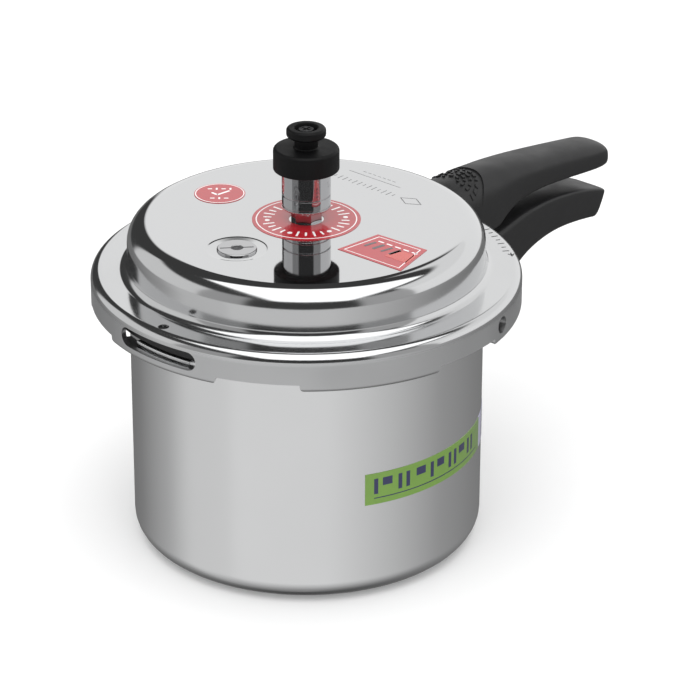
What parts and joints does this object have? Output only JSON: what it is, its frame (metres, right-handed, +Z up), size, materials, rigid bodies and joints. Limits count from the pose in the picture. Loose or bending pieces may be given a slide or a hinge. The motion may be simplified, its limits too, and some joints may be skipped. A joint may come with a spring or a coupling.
{
  "type": "stovetop pressure cooker",
  "caption": "Stovetop pressure cooker with an outer bayonet lid, nested side handles, a lift-off vent weight and a fusible safety plug.",
  "frame": {"origin": "centre of the pot's flat base, on the surface that it stands on", "axes": "+Z up along the pot's axis, +X along both handles from the pot's axis to their tips"},
  "size_m": [0.3531, 0.2232, 0.225],
  "materials": {
    "pot_metal": "drawn and polished",
    "lid_metal": "mirror polished",
    "steel": "bright zinc plated steel",
    "sleeve_steel": "polished stainless steel",
    "bakelite": "black moulded bakelite with a soft sheen",
    "rubber": "black nitrile rubber",
    "brass": "turned brass",
    "rivet_metal": "soft aluminium",
    "alloy": "dull fusible alloy",
    "sticker_red": "glossy printed vinyl",
    "label_green": "glossy printed vinyl"
  },
  "bodies": {
    "pot": {"pot_body": "pot_metal", "pot_label": "label_green", "pot_handle_bracket": "steel", "pot_bracket_rivets": "rivet_metal", "pot_handle": "bakelite", "pot_handle_screws": "steel", "pot_handle_nuts": "steel"},
    "lid": {"lid_shell": "lid_metal", "gasket": "rubber", "lid_handle_bracket": "steel", "lid_bracket_rivets": "rivet_metal", "lid_handle": "bakelite", "lid_handle_inserts": "brass", "lid_handle_screws": "steel", "lid_handle_washers": "steel", "vent_tube": "steel", "vent_washer": "rivet_metal", "vent_nut": "steel", "safety_plug": "lid_metal", "safety_plug_alloy": "alloy", "safety_plug_washer": "rubber", "safety_plug_nut": "steel", "vent_sticker": "sticker_red", "check_sticker": "sticker_red", "corner_sticker": "sticker_red"},
    "needle": {"weight_needle": "steel"},
    "weight": {"weight_core": "steel", "weight_sleeve": "sleeve_steel", "weight_cap": "bakelite", "weight_screw": "steel"}
  },
  "joints": [
    {"name": "lid_turn", "type": "hinge", "parent": "pot", "child": "lid", "pos_m": [0, 0, 0.14], "axis": [0, 0, 1], "range_deg": [0, 30]},
    {"name": "weight_lift", "type": "slide", "parent": "lid", "child": "needle", "axis": [0, 0, 1], "range_m": [0, 0.022]},
    {"name": "weight_spin", "type": "hinge", "parent": "needle", "child": "weight", "pos_m": [0, 0, 0.2], "axis": [0, 0, 1], "continuous": true}
  ]
}
